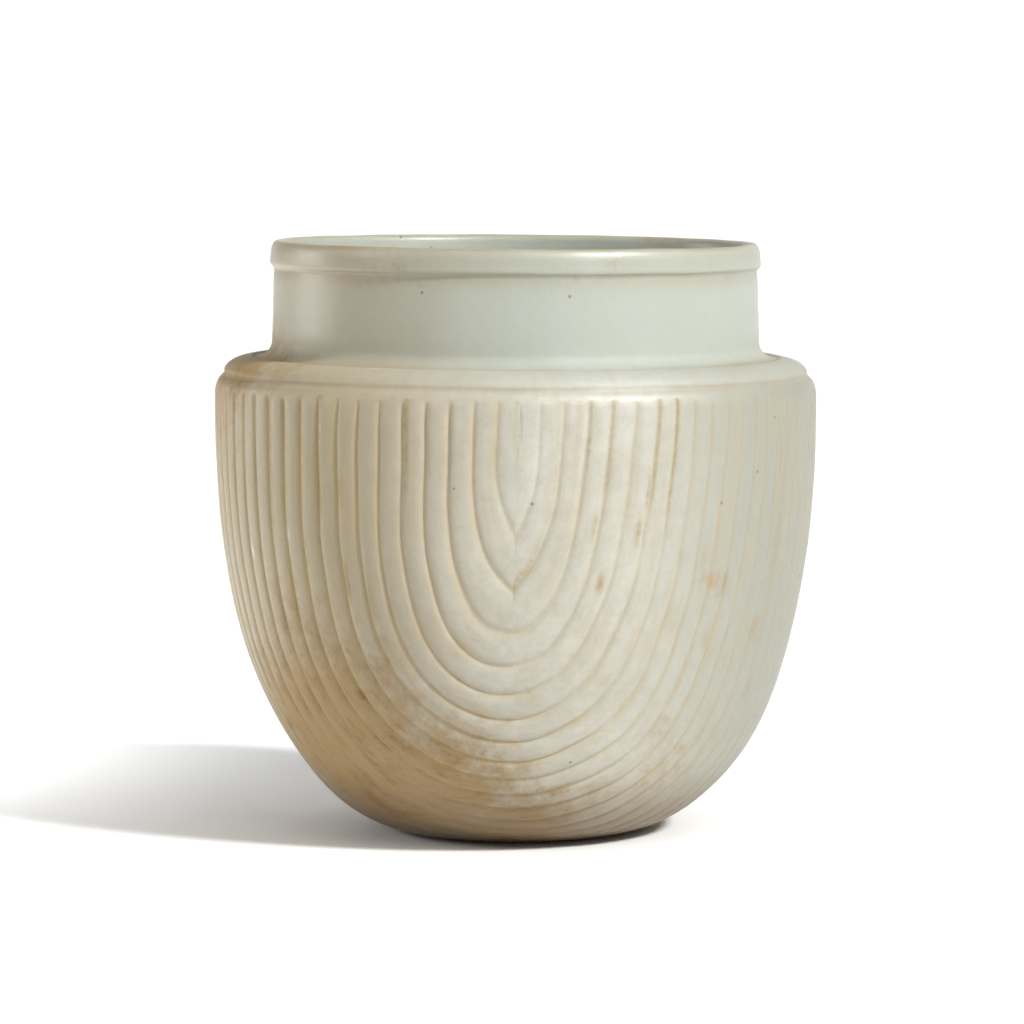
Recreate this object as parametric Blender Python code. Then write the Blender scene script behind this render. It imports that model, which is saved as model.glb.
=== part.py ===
"""Marble cup carved from one block, with nested arched flutes round its body.

The front of the cup, with the pointed arches, faces -Y. The origin is the
middle of the underside and +Z is up. Sizes are in metres.
"""
import math

import bmesh
import bpy
import numpy as np

MM = 0.001

# Heights, stacked from the lip downwards
HEIGHT = 100.0 * MM
LIP_HEIGHT = 4.05 * MM
NECK_HEIGHT = 15.35 * MM
SHOULDER_RISE = 3.2 * MM

# Radii, stepping in from the widest part of the body
BODY_RADIUS = 51.2 * MM
BASE_RADIUS = 16.9 * MM
SHOULDER_SETBACK = 9.9 * MM

# How full the body is: the powers of the two halves of its outline
WIDTH_POWER = 1.972
DEPTH_POWER = 2.548

# Rounded top edge of the fluted body, and the fine groove above it
EDGE_WIDTH = 1.65 * MM
EDGE_DROP = 3.9 * MM
NOTCH_DEPTH = 0.3 * MM
NOTCH_HEIGHT = 0.5 * MM

# Cove between shoulder and neck, with a small step at its outer edge
COVE_WIDTH = 3.4 * MM
COVE_HEIGHT = 2.8 * MM
STEP_SIZE = 0.2 * MM

# Neck and lip
NECK_TAPER = 0.7 * MM
LIP_OVERHANG = 1.05 * MM
LIP_SLANT = 0.6 * MM
LIP_LEAN = 0.2 * MM
LIP_ROUND_HEIGHT = 1.2 * MM
LIP_ROUND_WIDTH = 0.8 * MM

# Walls, and how far the hollow widens below the neck
LIP_WALL = 2.2 * MM
NECK_WALL = 2.7 * MM
BODY_WALL = 4.2 * MM
FLOOR_THICKNESS = 6.0 * MM
INNER_FLOOR_RADIUS = 13.5 * MM
INNER_SHOULDER_TOP = 2.0 * MM
INNER_SHOULDER_DROP = 9.5 * MM

# Flutes: arched grooves nested about the middle of the front and of the back
GROOVE_COUNT = 39
FIRST_GROOVE = math.radians(3.93)
GROOVE_DEPTH = 0.5 * MM
CREST_SHARE = 0.25
GROOVE_START = 1.8 * MM
GROOVE_RUN_IN = 2.4 * MM
GROOVE_RUN_OUT = 12.0 * MM

# How the arches drop down the front, and which of them are pointed
DIP_POWER = 2.186
DIP_EASE = 1.459
POINTED_UP_TO = math.radians(8.5)
ROUND_FROM = math.radians(17.5)

# The front arches start a little to the right and end a little to the left
ARCH_SHIFT_TOP = math.radians(1.0)
ARCH_SHIFT_LOW = math.radians(-1.2)
ARCH_SHIFT_REACH = 45.0 * MM

# Worn patches: azimuth, distance down the body, reach each way, share of the grooves worn off
WORN_PATCHES = (
    (math.radians(-58), 72 * MM, math.radians(32), 16 * MM, 0.8),
    (math.radians(78), 40 * MM, math.radians(22), 45 * MM, 0.5),
)

# Irregular hand work: a rim that is not quite level and a low belly to one side
RIM_SLOPE = math.radians(0.45)
BELLY_DRIFT = 0.75 * MM
BELLY_DRIFT_HEIGHT = 14.0 * MM
BELLY_DRIFT_REACH = 13.0 * MM

# Fineness of the facets
TURN_STEPS = 60
ARCH_STEPS = 13
STEP_EASE = 0.75
OUTLINE_SAMPLES = 600
MERGE_REACH = 0.02 * MM

MARBLE_COLOUR = (0.69, 0.67, 0.58, 1.0)

neck_radius = BODY_RADIUS - SHOULDER_SETBACK
shoulder_top = HEIGHT - LIP_HEIGHT - NECK_HEIGHT
body_top = shoulder_top - SHOULDER_RISE


def clamp(value):
    """The value, kept between 0 and 1."""
    return min(max(value, 0.0), 1.0)


def outline_table():
    """Radius, height and distance down the plain outline, from the body's top to the base's middle."""
    turn = np.linspace(0.0, math.pi / 2, OUTLINE_SAMPLES)
    radius = BASE_RADIUS + (BODY_RADIUS - BASE_RADIUS) * np.cos(turn) ** (2 / WIDTH_POWER)
    height = body_top * (1 - np.sin(turn) ** (2 / DEPTH_POWER))
    radius = np.append(radius, 0.0)
    height = np.append(height, 0.0)
    steps = np.hypot(np.diff(radius), np.diff(height))
    return radius, height, np.concatenate([[0.0], np.cumsum(steps)])


OUTLINE_RADIUS, OUTLINE_HEIGHT, OUTLINE_ARC = outline_table()
outline_length = float(OUTLINE_ARC[-1])
base_edge = outline_length - BASE_RADIUS


def outline_point(arc):
    """Radius and height of the unfluted body at a distance down its outline."""
    radius = float(np.interp(arc, OUTLINE_ARC, OUTLINE_RADIUS))
    height = float(np.interp(arc, OUTLINE_ARC, OUTLINE_HEIGHT))
    rise = clamp((height - body_top + EDGE_DROP) / EDGE_DROP)
    return radius - EDGE_WIDTH * (1 - math.sqrt(1 - rise * rise)), height


def outline_normal(arc):
    """Outward direction of the unfluted body, as radius and height."""
    reach = 0.2 * MM
    above = outline_point(max(arc - reach, 0.0))
    below = outline_point(min(arc + reach, outline_length))
    fall = above[1] - below[1]
    spread = below[0] - above[0]
    length = math.hypot(fall, spread)
    return fall / length, spread / length


def dip_at(arc):
    """Angle down from its ends that an arch has reached at a distance down the outline."""
    share = clamp((arc - GROOVE_START) / (outline_length - GROOVE_START))
    return math.pi / 2 * (1 - (1 - share ** DIP_POWER) ** DIP_EASE)


def arc_at(dip):
    """Distance down the outline at which an arch reaches an angle, the inverse of dip_at."""
    share = (1 - (1 - clamp(dip / (math.pi / 2))) ** (1 / DIP_EASE)) ** (1 / DIP_POWER)
    return GROOVE_START + (outline_length - GROOVE_START) * share


def pointedness(spread):
    """1 for the pointed inner arches, 0 for the round outer ones."""
    near = min(spread, math.pi - spread)
    return clamp((ROUND_FROM - near) / (ROUND_FROM - POINTED_UP_TO))


def arch_place(spread, bearing):
    """Azimuth and distance down the outline of a point on an arch.

    The arches are drawn as circles on a half ball about the front point:
    spread is a circle's angle from that point, and bearing goes round it from
    the right-hand end, by the lowest point, to the left-hand end.
    """
    side = math.cos(bearing)
    across = math.sin(spread) * side * abs(side) ** pointedness(spread)
    azimuth = math.atan2(across, math.cos(spread))
    dip = math.asin(clamp(math.sin(spread) * math.sin(bearing)))
    arc = arc_at(dip)
    shift = ARCH_SHIFT_TOP + (ARCH_SHIFT_LOW - ARCH_SHIFT_TOP) * clamp(arc / ARCH_SHIFT_REACH)
    return azimuth + shift * max(math.cos(azimuth), 0.0) ** 2, arc


def groove_pitch():
    """Angle between neighbouring grooves."""
    return (math.pi - 2 * FIRST_GROOVE) / (GROOVE_COUNT - 1)


def groove_share(spread):
    """How deep the carving is across the arches: 1 in a groove, 0 on the crest beside it."""
    near = min(spread, math.pi - spread)
    place = (near - FIRST_GROOVE) / groove_pitch()
    if place < 0:
        return clamp(1 + place / CREST_SHARE)
    part = place - math.floor(place)
    if part < CREST_SHARE:
        return 1 - part / CREST_SHARE
    return (part - CREST_SHARE) / (1 - CREST_SHARE)


def groove_strength(azimuth, arc):
    """How much of the grooves is left: none at their ends, less where the stone is worn."""
    strength = clamp((arc - GROOVE_START) / GROOVE_RUN_IN)
    strength *= clamp((base_edge - arc) / GROOVE_RUN_OUT)
    for patch_azimuth, patch_arc, reach_azimuth, reach_arc, worn in WORN_PATCHES:
        away = ((azimuth - patch_azimuth) / reach_azimuth) ** 2 + ((arc - patch_arc) / reach_arc) ** 2
        strength *= 1 - worn * math.exp(-away)
    return strength


def body_point(spread, bearing):
    """A point of the fluted surface."""
    azimuth, arc = arch_place(spread, bearing)
    radius, height = outline_point(arc)
    out, up = outline_normal(arc)
    depth = GROOVE_DEPTH * groove_share(spread) * groove_strength(azimuth, arc)
    radius -= depth * out
    height = max(height - depth * up, 0.0)
    return radius * math.sin(azimuth), -radius * math.cos(azimuth), height


def arch_rows():
    """Spread of every row of the body's mesh: each groove and the crest beside it."""
    pitch = groove_pitch()
    front = [0.0, FIRST_GROOVE - pitch * CREST_SHARE]
    for groove in range(GROOVE_COUNT // 2):
        front.append(FIRST_GROOVE + pitch * groove)
        front.append(FIRST_GROOVE + pitch * (groove + CREST_SHARE))
    back = [math.pi - spread for spread in reversed(front)]
    return front + [math.pi / 2] + back


def arch_columns():
    """Bearing of every column of the body's mesh, from one end of an arch to the other."""
    full = GROOVE_START + GROOVE_RUN_IN
    arcs = [GROOVE_START]
    for step in range(ARCH_STEPS + 1):
        arcs.append(full + (base_edge - full) * (step / ARCH_STEPS) ** STEP_EASE)
    arcs.append((base_edge + outline_length) / 2)
    right = [dip_at(arc) for arc in arcs]
    left = [math.pi - bearing for bearing in reversed(right)]
    return right + [math.pi / 2] + left


def add_body(mesh):
    """The fluted body and flat base: a grid whose rows run along the grooves."""
    rows = arch_rows()
    columns = arch_columns()
    made = bmesh.ops.create_grid(mesh, x_segments=len(rows) - 1, y_segments=len(columns) - 1, size=1.0)
    for vert in made["verts"]:
        row = round((vert.co.x + 1) / 2 * (len(rows) - 1))
        column = round((vert.co.y + 1) / 2 * (len(columns) - 1))
        vert.co = body_point(rows[row], columns[column])
    bmesh.ops.remove_doubles(mesh, verts=mesh.verts, dist=MERGE_REACH)


def elliptic_arc(centre, reach, start, end, steps):
    """Points on an ellipse about a centre, at angles in degrees from the outward radius."""
    points = []
    for step in range(steps + 1):
        angle = math.radians(start + (end - start) * step / steps)
        points.append((centre[0] + reach[0] * math.cos(angle), centre[1] + reach[1] * math.sin(angle)))
    return points


def edge_profile():
    """The rest of the body's rounded top edge, above the ends of the flutes."""
    centre = (BODY_RADIUS - EDGE_WIDTH, body_top - EDGE_DROP)
    flute_end = math.degrees(math.asin(clamp(1 - GROOVE_START / EDGE_DROP)))
    start = flute_end + (90 - flute_end) / 3
    return elliptic_arc(centre, (EDGE_WIDTH, EDGE_DROP), start, 90, 2)


def shoulder_profile():
    """Fine groove, rolled shoulder, small step and cove."""
    edge_radius = BODY_RADIUS - EDGE_WIDTH
    roll_base = body_top + NOTCH_HEIGHT
    step_radius = neck_radius + COVE_WIDTH
    points = [(edge_radius - NOTCH_DEPTH, body_top + NOTCH_HEIGHT / 2)]
    roll_reach = (edge_radius - step_radius, shoulder_top - roll_base)
    points += elliptic_arc((step_radius, roll_base), roll_reach, 0, 90, 5)
    cove_centre = (step_radius - STEP_SIZE, shoulder_top - STEP_SIZE + COVE_HEIGHT)
    cove_reach = (COVE_WIDTH - STEP_SIZE, COVE_HEIGHT)
    return points + elliptic_arc(cove_centre, cove_reach, 270, 180, 4)


def neck_profile():
    """Nearly straight neck that draws in under the lip."""
    foot = shoulder_top - STEP_SIZE + COVE_HEIGHT
    top = HEIGHT - LIP_HEIGHT - LIP_SLANT
    points = []
    for share in (0.45, 0.75, 1.0):
        points.append((neck_radius - NECK_TAPER * share ** 3, foot + (top - foot) * share))
    return points


def lip_profile():
    """Projecting lip with a slanted underside and a rounded crest."""
    lip_radius = neck_radius - NECK_TAPER + LIP_OVERHANG
    crest = (lip_radius - LIP_LEAN - LIP_ROUND_WIDTH, HEIGHT - LIP_ROUND_HEIGHT)
    points = [(lip_radius, HEIGHT - LIP_HEIGHT)]
    points += elliptic_arc(crest, (LIP_ROUND_WIDTH, LIP_ROUND_HEIGHT), 0, 90, 3)
    inner_reach = LIP_WALL - LIP_ROUND_WIDTH
    return points + elliptic_arc(crest, (inner_reach, LIP_ROUND_HEIGHT), 120, 180, 2)


def inner_profile():
    """The hollow: straight neck, wide shoulder, rounded body and flat floor."""
    bore_radius = neck_radius - NECK_WALL
    room_radius = BODY_RADIUS - BODY_WALL
    room_top = body_top + INNER_SHOULDER_TOP - INNER_SHOULDER_DROP
    shoulder_reach = (room_radius - bore_radius, INNER_SHOULDER_DROP)
    points = [(bore_radius, HEIGHT - LIP_HEIGHT)]
    points += elliptic_arc((bore_radius, room_top), shoulder_reach, 90, 0, 3)
    for station in (0.2, 0.36, 0.5, 0.64, 0.78, 1.0):
        turn = station * math.pi / 2
        width = math.cos(turn) ** (2 / WIDTH_POWER)
        fall = math.sin(turn) ** (2 / DEPTH_POWER)
        radius = INNER_FLOOR_RADIUS + (room_radius - INNER_FLOOR_RADIUS) * width
        points.append((radius, room_top - (room_top - FLOOR_THICKNESS) * fall))
    return points + [(0.0, FLOOR_THICKNESS)]


def add_turned_top(mesh):
    """Everything above the flutes, and the hollow: one outline turned about the axis."""
    points = edge_profile() + shoulder_profile() + neck_profile() + lip_profile() + inner_profile()
    verts = [mesh.verts.new((0.0, -radius, height)) for radius, height in points]
    edges = [mesh.edges.new(pair) for pair in zip(verts, verts[1:])]
    bmesh.ops.spin(
        mesh,
        geom=verts + edges,
        cent=(0.0, 0.0, 0.0),
        axis=(0.0, 0.0, 1.0),
        angle=2 * math.pi,
        steps=TURN_STEPS,
        use_merge=True,
    )
    bmesh.ops.remove_doubles(mesh, verts=mesh.verts, dist=MERGE_REACH)


def make_irregular(mesh):
    """Slopes the rim a little and swells the low belly to the right, as hand work leaves them."""
    for vert in mesh.verts:
        swell = math.exp(-((vert.co.z - BELLY_DRIFT_HEIGHT) / BELLY_DRIFT_REACH) ** 2)
        vert.co.z -= vert.co.x * math.tan(RIM_SLOPE) * (vert.co.z / HEIGHT) ** 2
        vert.co.x += BELLY_DRIFT * swell


def marble():
    """Cream white marble with a dull polish."""
    material = bpy.data.materials.new("marble")
    material.use_nodes = True
    shader = material.node_tree.nodes["Principled BSDF"]
    shader.inputs["Base Color"].default_value = MARBLE_COLOUR
    shader.inputs["Roughness"].default_value = 0.4
    shader.inputs["Metallic"].default_value = 0.0
    return material


def make_cup():
    """The cup as one closed solid."""
    mesh = bmesh.new()
    add_body(mesh)
    add_turned_top(mesh)
    bmesh.ops.bridge_loops(mesh, edges=[edge for edge in mesh.edges if edge.is_boundary])
    make_irregular(mesh)
    bmesh.ops.triangulate(mesh, faces=mesh.faces)
    bmesh.ops.recalc_face_normals(mesh, faces=mesh.faces)
    data = bpy.data.meshes.new("cup")
    mesh.to_mesh(data)
    mesh.free()
    data.shade_smooth()
    data.set_sharp_from_angle(angle=math.radians(28))
    data.materials.append(marble())
    cup = bpy.data.objects.new("cup", data)
    bpy.context.collection.objects.link(cup)


def main():
    for old in list(bpy.data.objects):
        bpy.data.objects.remove(old, do_unlink=True)
    make_cup()


main()
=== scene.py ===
"""Marble cup with nested arched flutes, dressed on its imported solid.

The front of the cup, with the pointed arches, faces -Y. The origin is the
middle of the underside and +Z is up. Sizes are in metres.
"""
import math

import bmesh
import bpy
import numpy as np
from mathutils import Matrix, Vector, noise


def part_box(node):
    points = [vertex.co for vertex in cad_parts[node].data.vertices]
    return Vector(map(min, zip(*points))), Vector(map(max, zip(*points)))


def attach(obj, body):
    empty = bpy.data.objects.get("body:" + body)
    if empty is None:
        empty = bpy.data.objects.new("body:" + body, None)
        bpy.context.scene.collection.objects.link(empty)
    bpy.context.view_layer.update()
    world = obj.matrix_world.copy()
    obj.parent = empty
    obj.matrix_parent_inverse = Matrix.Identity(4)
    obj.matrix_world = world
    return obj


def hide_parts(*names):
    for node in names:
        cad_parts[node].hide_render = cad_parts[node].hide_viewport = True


MM = 0.001

# Heights, stacked from the lip downwards
HEIGHT = 100.0 * MM
LIP_HEIGHT = 4.05 * MM
NECK_HEIGHT = 15.35 * MM
SHOULDER_RISE = 3.2 * MM

# Radii, stepping in from the widest part of the body
BODY_RADIUS = 51.1 * MM
BASE_RADIUS = 16.9 * MM
SHOULDER_SETBACK = 9.8 * MM

# How full the body is: the powers of the two halves of its outline
WIDTH_POWER = 1.972
DEPTH_POWER = 2.548

# Rounded top edge of the fluted body, with the degrees at which it ends, and the fine groove above it
EDGE_WIDTH = 1.65 * MM
EDGE_DROP = 3.9 * MM
EDGE_END = 74
NOTCH_DEPTH = 0.1 * MM
NOTCH_HEIGHT = 0.5 * MM

# Cove between shoulder and neck, with a small step at its outer edge
COVE_WIDTH = 3.4 * MM
COVE_HEIGHT = 2.8 * MM
STEP_SIZE = 0.2 * MM

# Neck and lip. The neck tapers, then rounds inwards through NECK_ROUND_END degrees. The lip
# stands out over it with a slanted underside, a rounded lower edge and a rounded crest
NECK_TAPER = 0.25 * MM
NECK_ROUND_WIDTH = 0.6 * MM
NECK_ROUND_HEIGHT = 4.5 * MM
NECK_ROUND_END = 50
LIP_OVERHANG = 0.72 * MM
LIP_SLANT = 0.6 * MM
LIP_LEAN = 0.1 * MM
LIP_ROUND_HEIGHT = 2.4 * MM
LIP_ROUND_WIDTH = 1.05 * MM
LIP_EDGE_WIDTH = 0.5 * MM
LIP_EDGE_HEIGHT = 0.9 * MM
LIP_EDGE_RISE = 0.75 * MM
INNER_ROUND_HEIGHT = 1.2 * MM

# Walls, and how far the hollow widens below the neck
LIP_WALL = 2.2 * MM
NECK_WALL = 2.7 * MM
BODY_WALL = 4.1 * MM
FLOOR_THICKNESS = 6.0 * MM
INNER_FLOOR_RADIUS = 13.5 * MM
BORE_DEPTH = 8.0 * MM
INNER_SHOULDER_TOP = 2.0 * MM
INNER_SHOULDER_DROP = 9.5 * MM

# Flutes: arched grooves nested about the middle of the front and of the back
GROOVE_COUNT = 39
FIRST_GROOVE = math.radians(3.93)
GROOVE_DEPTH = 0.52 * MM
GROOVE_START = 1.3 * MM
GROOVE_RUN_IN = 1.7 * MM
GROOVE_RUN_OUT = 12.0 * MM

# How unevenly the grooves start, and over what distance that changes
START_CHANGE = 0.4 * MM
START_REACH = 4.0 * MM

# Section of a flute: a low crown, and a narrow cut on each side of it
CROWN_SHARE = 0.55
CUT_HALF_WIDTH = 0.2
CUT_POWER = 1.7

# Earth left in the grooves: its half width as a share of their spacing, and its strength
EARTH_WIDTH_LEFT = 0.16
EARTH_WIDTH_RIGHT = 0.21
EARTH_LEFT = 1.0
EARTH_RIGHT = 0.62

# How the arches drop down the front, and which of them are pointed
DIP_POWER = 2.186
DIP_EASE = 1.459
POINTED_UP_TO = math.radians(8.5)
ROUND_FROM = math.radians(13.5)

# The front arches start a little to the right and end a little to the left
ARCH_SHIFT_TOP = math.radians(1.0)
ARCH_SHIFT_LOW = math.radians(-1.2)
ARCH_SHIFT_REACH = 45.0 * MM

# Uneven spacing of the hand-cut flutes: degrees moved towards the front, by azimuth in degrees
LEFT_SPACING = ((0, 4, 9, 20, 90, 180), (0.0, -0.3, 0.0, 0.4, 0.5, 0.0))
RIGHT_SPACING = ((0, 8, 28, 90, 180), (0.0, 0.5, 0.6, 7.5, 0.0))
LOW_SPACING = ((0, 15, 80, 120), (0.0, 2.3, 2.3, 0.0))
LOW_SPACING_FROM = 5.0 * MM
LOW_SPACING_REACH = 35.0 * MM

# Worn patches: azimuth, distance down the body, reach each way, share of the grooves worn off
WORN_PATCHES = (
    (math.radians(-44), 73 * MM, math.radians(30), 17 * MM, 0.92),
    (math.radians(-70), 85 * MM, math.radians(30), 14 * MM, 0.8),
    (math.radians(-14), 95 * MM, math.radians(30), 10 * MM, 0.7),
    (math.radians(75), 45 * MM, math.radians(38), 50 * MM, 0.7),
    (math.radians(28), 22 * MM, math.radians(16), 28 * MM, 0.4),
    (math.radians(3), 8 * MM, math.radians(13), 16 * MM, 0.5),
    (math.radians(140), 60 * MM, math.radians(25), 20 * MM, 0.6),
)

# Irregular hand work: a rim that is not quite level and a low belly to one side
RIM_SLOPE = math.radians(0.45)
BELLY_DRIFT = 0.75 * MM
BELLY_DRIFT_HEIGHT = 14.0 * MM
BELLY_DRIFT_REACH = 13.0 * MM

# Small unevenness left by the chisel and by wear. The dents fade out below the standing height,
# and their seed gives them the same pattern in every run
WANDER = 0.3 * MM
WANDER_REACH = 10.0 * MM
DEPTH_CHANGE = 0.3
DEPTH_REACH = 14.0 * MM
DENT = 0.09 * MM
DENT_REACH = 9.0 * MM
DENT_SEED = 1
STANDING_HEIGHT = 3.0 * MM

# Fineness of the mesh
FLUTE_PARTS = (0.0, 0.06, 0.12, 0.18, 0.26, 0.38, 0.5, 0.62, 0.74, 0.82, 0.88, 0.94)
FIRST_FLUTE_PARTS = (0.78, 0.66, 0.54, 0.42, 0.3, 0.2, 0.12, 0.06)
RUN_IN_STEPS = 6
ARCH_STEPS = 46
STEP_EASE = 0.85
TURN_STEPS = 240
NECK_STEPS = 8
BOWL_STEPS = 14
OUTLINE_SAMPLES = 1500
MERGE_REACH = 0.0001 * MM

# Rust-coloured stains: flute number (left is negative), angle down the arch in degrees,
# half width and half length in millimetres, and strength
STAINS = (
    (-9.9, 2, 0.6, 2.2, 0.7),
    (-10.8, 2, 0.5, 3.0, 0.8),
    (-14.1, 1, 0.5, 1.0, 0.5),
    (-7.9, 2, 0.6, 2.0, 0.8),
    (-3.8, 0, 0.5, 1.8, 0.6),
    (-13.8, 6, 0.4, 1.2, 0.5),
    (-6.8, 14, 0.5, 1.6, 1.0),
    (-9.9, 13, 0.5, 2.6, 0.9),
    (-5.8, 20, 0.7, 2.0, 0.5),
    (-6.8, 3, 0.3, 0.7, 0.7),
    (-8.8, 8, 0.3, 1.0, 0.7),
    (-8.9, 1, 0.5, 1.2, 0.5),
    (-12.1, 32, 0.6, 2.0, 0.5),
    (-10.3, 41, 0.5, 1.0, 0.8),
    (-8.1, 37, 0.6, 1.6, 0.8),
    (-10.5, 51, 0.5, 2.0, 0.9),
    (-8.3, 54, 0.8, 3.2, 0.8),
    (-12.9, 59, 1.6, 4.5, 0.8),
    (-14.4, 52, 0.8, 2.2, 0.9),
    (-12.6, 66, 1.0, 2.0, 0.9),
    (-6.3, 54, 0.25, 0.3, 0.8),
    (-9.8, 65, 0.4, 0.5, 0.5),
    (8.8, 75, 0.5, 3.0, 0.8),
    (9.4, 69, 0.7, 2.6, 0.5),
    (10.5, 66, 0.25, 0.3, 0.9),
    (12.8, 55, 0.7, 0.9, 0.5),
    (14.3, 25, 0.8, 2.0, 0.5),
    (9.2, 44, 0.9, 2.0, 0.35),
    (9.7, 20, 0.8, 1.2, 0.5),
    (3.6, 23, 0.6, 0.8, 0.9),
    (2.1, 1, 0.4, 0.8, 0.5),
    (6.0, 1, 0.4, 2.4, 0.6),
    (4.7, 9, 0.5, 0.8, 0.8),
    (4.9, 4, 0.3, 0.6, 0.8),
    (2.8, 12, 0.4, 0.9, 0.5),
    (3.0, 2, 0.4, 1.2, 0.4),
    (8.4, 9, 0.6, 1.0, 0.4),
    (10.9, 9, 0.25, 0.3, 0.7),
    (13.3, 1, 0.25, 0.4, 0.7),
    (10.0, 11, 0.6, 1.2, 0.4),
    (13.7, 7, 1.0, 5.0, 0.35),
    (5.1, 2, 0.4, 1.6, 0.5),
    (0.9, 84, 0.6, 2.6, 0.8),
    (9.9, 82, 0.5, 4.0, 0.9),
    (9.2, 76, 0.6, 2.5, 0.9),
    (10.6, 88, 0.5, 4.5, 0.7),
    (0.9, 60, 0.5, 3.0, 0.6),
)

# Tan patches soaked into the stone, and on the left of the shoulder painted shade as well: middle and
# reach in millimetres, and strength
TAN_PATCHES_AND_SHADE = (
    (-29.0, -28.0, 18.6, 23.0, 1.0),
    (-14.0, -33.0, 11.0, 18.0, 0.95),
    (-23.0, -23.0, 7.4, 11.0, 0.95),
    (0.0, -29.0, 4.5, 12.0, 0.9),
    (-36.0, -32.0, 36.0, 14.0, 0.55),
    (12.0, -33.0, 9.0, 9.0, 0.4),
    # The next three, on the left of the shoulder, are partly painted shade
    (-46.0, -10.0, 77.0, 15.0, 0.75),
    (-43.0, -19.0, 77.5, 8.0, 0.95),
    (-37.0, -28.0, 78.5, 7.0, 0.6),
    (33.0, -38.0, 45.0, 5.0, 0.5),
    (41.0, -28.0, 36.0, 5.0, 0.5),
    (26.0, -37.0, 20.0, 6.0, 0.45),
    (26.0, -30.0, 13.0, 11.0, 0.42),
    (-20.0, -36.0, 97.5, 9.0, 0.36),
    (26.0, 28.0, 95.0, 11.0, 0.4),
    (12.0, -39.0, 98.5, 8.0, 0.3),
    (45.0, -20.0, 46.0, 8.0, 0.3),
    (20.0, 30.0, 14.0, 14.0, 0.6),
    (-34.0, 26.0, 24.0, 13.0, 0.6),
)

# Fresh little nicks on the flutes and the shoulder: place and size in millimetres
NICKS = (
    (-37.6, -33.5, 53.8, 0.6),
    (-43.6, -24.2, 49.7, 0.5),
    (-22.4, -38.7, 80.6, 0.8),
    (33.0, 30.5, 80.6, 0.8),
    (18.0, 45.5, 60.0, 0.8),
)

NICK_STRENGTH = 0.5

# Lamp over the floor behind the cup's left, past the far end of its shadow
FLOOR_LAMP_PLACE = (-0.21, 0.1, 0.5)

# Camera of the photograph
CAMERA_PLACE = (-0.62 * MM, -823.3 * MM, 125.2 * MM)
CAMERA_TILT = 0.0863
LENS = 170.57
SENSOR = 36.0

neck_radius = BODY_RADIUS - SHOULDER_SETBACK
neck_round_in = NECK_ROUND_WIDTH * (1 - math.cos(math.radians(NECK_ROUND_END)))
neck_top_radius = neck_radius - NECK_TAPER - neck_round_in
lip_radius = neck_top_radius + LIP_OVERHANG
shoulder_top = HEIGHT - LIP_HEIGHT - NECK_HEIGHT
body_top = shoulder_top - SHOULDER_RISE
groove_pitch = (math.pi - 2 * FIRST_GROOVE) / (GROOVE_COUNT - 1)


def clamp(value):
    """The value, kept between 0 and 1."""
    return min(max(value, 0.0), 1.0)


def outline_table():
    """Radius, height and distance down the plain outline, from the body's top to the base's middle."""
    turn = np.linspace(0.0, math.pi / 2, OUTLINE_SAMPLES)
    radius = BASE_RADIUS + (BODY_RADIUS - BASE_RADIUS) * np.cos(turn) ** (2 / WIDTH_POWER)
    height = body_top * (1 - np.sin(turn) ** (2 / DEPTH_POWER))
    radius = np.append(radius, 0.0)
    height = np.append(height, 0.0)
    steps = np.hypot(np.diff(radius), np.diff(height))
    return radius, height, np.concatenate([[0.0], np.cumsum(steps)])


OUTLINE_RADIUS, OUTLINE_HEIGHT, OUTLINE_ARC = outline_table()
outline_length = float(OUTLINE_ARC[-1])
base_edge = outline_length - BASE_RADIUS


def outline_point(arc):
    """Radius and height of the unfluted body at a distance down its outline."""
    radius = float(np.interp(arc, OUTLINE_ARC, OUTLINE_RADIUS))
    height = float(np.interp(arc, OUTLINE_ARC, OUTLINE_HEIGHT))
    rise = clamp((height - body_top + EDGE_DROP) / EDGE_DROP)
    return radius - EDGE_WIDTH * (1 - math.sqrt(1 - rise * rise)), height


def outline_normal(arc):
    """Outward direction of the unfluted body, as radius and height."""
    reach = 0.2 * MM
    above = outline_point(max(arc - reach, 0.0))
    below = outline_point(min(arc + reach, outline_length))
    fall = above[1] - below[1]
    spread = below[0] - above[0]
    length = math.hypot(fall, spread)
    return fall / length, spread / length


def dip_at(arc):
    """Angle down from its ends that an arch has reached at a distance down the outline."""
    share = clamp((arc - GROOVE_START) / (outline_length - GROOVE_START))
    return math.pi / 2 * (1 - (1 - share ** DIP_POWER) ** DIP_EASE)


def arc_at(dip):
    """Distance down the outline at which an arch reaches an angle, the inverse of dip_at."""
    share = (1 - (1 - clamp(dip / (math.pi / 2))) ** (1 / DIP_EASE)) ** (1 / DIP_POWER)
    return GROOVE_START + (outline_length - GROOVE_START) * share


def pointedness(spread):
    """1 for the pointed inner arches, 0 for the round outer ones."""
    near = min(spread, math.pi - spread)
    return clamp((ROUND_FROM - near) / (ROUND_FROM - POINTED_UP_TO))


def hand_spacing(azimuth, arc):
    """The azimuth after the carver's own spacing of the flutes."""
    degrees = math.degrees(azimuth)
    if degrees < 0:
        return azimuth + math.radians(float(np.interp(-degrees, *LEFT_SPACING)))
    low = clamp((arc - LOW_SPACING_FROM) / LOW_SPACING_REACH)
    moved = np.interp(degrees, *RIGHT_SPACING) + low * np.interp(degrees, *LOW_SPACING)
    return azimuth - math.radians(float(moved))


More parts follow.
